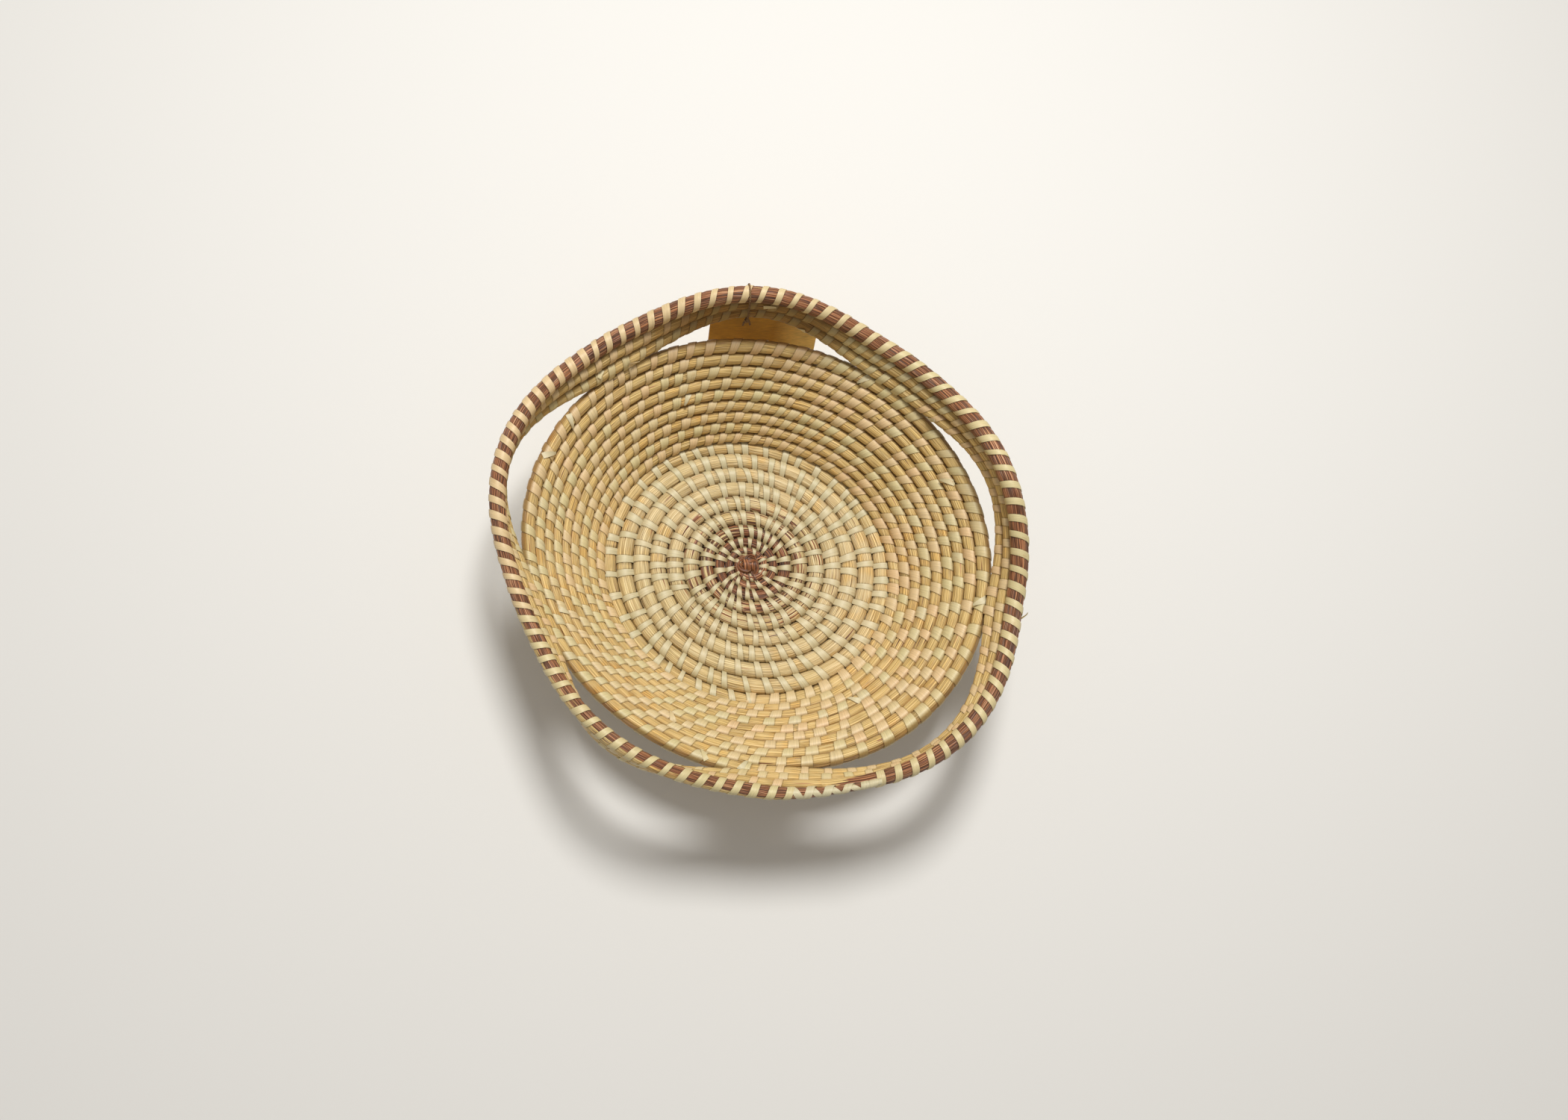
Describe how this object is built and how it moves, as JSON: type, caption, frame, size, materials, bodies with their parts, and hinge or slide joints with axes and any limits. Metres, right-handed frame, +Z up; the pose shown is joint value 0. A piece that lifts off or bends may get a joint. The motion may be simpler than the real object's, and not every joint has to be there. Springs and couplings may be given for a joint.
{
  "type": "coiled basket tray",
  "caption": "Round coiled grass tray with a flat base, a flaring wall and an open arched gallery under a bound rim, with a blank card tag on a twine loop.",
  "frame": {"origin": "on the table, under the middle of the tray's box, the tag included", "axes": "+Z up; the tag hangs on the +Y side and the coil's tail lies on the -Y side"},
  "size_m": [0.285, 0.2744, 0.1066],
  "materials": {
    "sweetgrass": "dry grass, satin",
    "pine_needle": "dry needles, satin",
    "palmetto": "dry leaf strip, satin",
    "twine": "matte twine",
    "card": "matte kraft card"
  },
  "bodies": {
    "tray": {"base_coil": "sweetgrass", "wall_coil": "sweetgrass", "gallery_coil_lower": "sweetgrass", "gallery_coil_upper": "sweetgrass", "start_knot": "pine_needle", "start_coil": "pine_needle", "rim_coil": "pine_needle", "rim_binding": "palmetto", "join_lashing_1": "palmetto", "join_lashing_2": "palmetto", "join_lashing_3": "palmetto", "join_lashing_4": "palmetto", "join_lashing_5": "palmetto", "end_lashing": "palmetto", "tag_string": "twine"},
    "tag": {"hang_tag": "card"}
  },
  "joints": [
    {"name": "tag_swing", "type": "hinge", "parent": "tray", "child": "tag", "pos_m": [-0.00666, 0.13269, 0.07254], "axis": [0.9986, 0.0523, 0], "range_deg": [-35, 35]}
  ]
}
